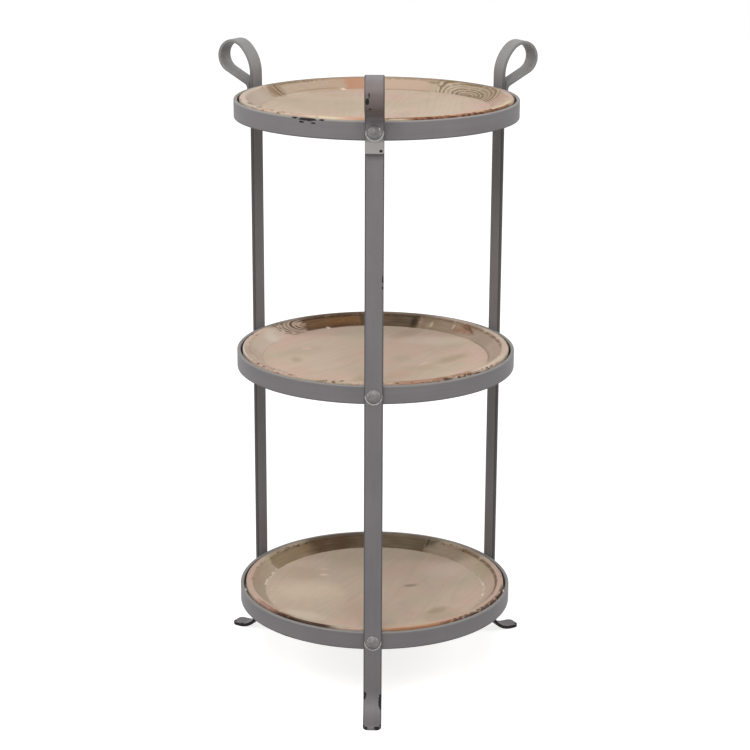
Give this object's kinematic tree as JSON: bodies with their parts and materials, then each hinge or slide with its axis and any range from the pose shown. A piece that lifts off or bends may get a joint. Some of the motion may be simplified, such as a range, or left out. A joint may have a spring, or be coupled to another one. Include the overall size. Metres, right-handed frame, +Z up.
{
  "type": "tiered side table",
  "caption": "Tall round tiered side table: grey flat-bar legs with loop tops and turned-out feet, riveted outside hoops that hold lift-out wooden dish trays.",
  "frame": {"origin": "on the floor, under the middle of the table's whole length and width", "axes": "+Z up; the front leg faces -Y; +X to the right when looking at the front leg"},
  "size_m": [0.45, 0.4468, 0.8881],
  "materials": {
    "grey_paint": "hand-brushed satin grey paint, chipped to black iron at the edges",
    "rivet_paint": "satin grey paint, scuffed pale round the heads",
    "lug_paint": "satin grey paint",
    "rim_wood": "matt whitewash rubbed back to brown fir wood on the walls and rough edges",
    "panel_wood": "matt pinkish-beige whitewash over fir boards"
  },
  "bodies": {
    "metal_frame": {"front_leg": "grey_paint", "right_leg": "grey_paint", "left_leg": "grey_paint", "bottom_hoop": "grey_paint", "middle_hoop": "grey_paint", "top_hoop": "grey_paint", "bottom_front_rivet": "rivet_paint", "bottom_right_rivet": "rivet_paint", "bottom_left_rivet": "rivet_paint", "middle_front_rivet": "rivet_paint", "middle_right_rivet": "rivet_paint", "middle_left_rivet": "rivet_paint", "top_front_rivet": "rivet_paint", "top_right_rivet": "rivet_paint", "top_left_rivet": "rivet_paint", "bottom_back_lug": "lug_paint", "bottom_front_left_lug": "lug_paint", "bottom_front_right_lug": "lug_paint", "middle_back_lug": "lug_paint", "middle_front_left_lug": "lug_paint", "middle_front_right_lug": "lug_paint", "top_back_lug": "lug_paint", "top_front_left_lug": "lug_paint", "top_front_right_lug": "lug_paint"},
    "bottom_tray": {"bottom_tray_rim": "rim_wood", "bottom_tray_panel": "panel_wood"},
    "middle_tray": {"middle_tray_rim": "rim_wood", "middle_tray_panel": "panel_wood"},
    "top_tray": {"top_tray_rim": "rim_wood", "top_tray_panel": "panel_wood"}
  },
  "joints": [
    {"name": "bottom_tray_lift", "type": "slide", "parent": "metal_frame", "child": "bottom_tray", "axis": [0, 0, 1], "range_m": [0, 0.32]},
    {"name": "middle_tray_lift", "type": "slide", "parent": "metal_frame", "child": "middle_tray", "axis": [0, 0, 1], "range_m": [0, 0.32]},
    {"name": "top_tray_lift", "type": "slide", "parent": "metal_frame", "child": "top_tray", "axis": [0, 0, 1], "range_m": [0, 0.12]}
  ]
}
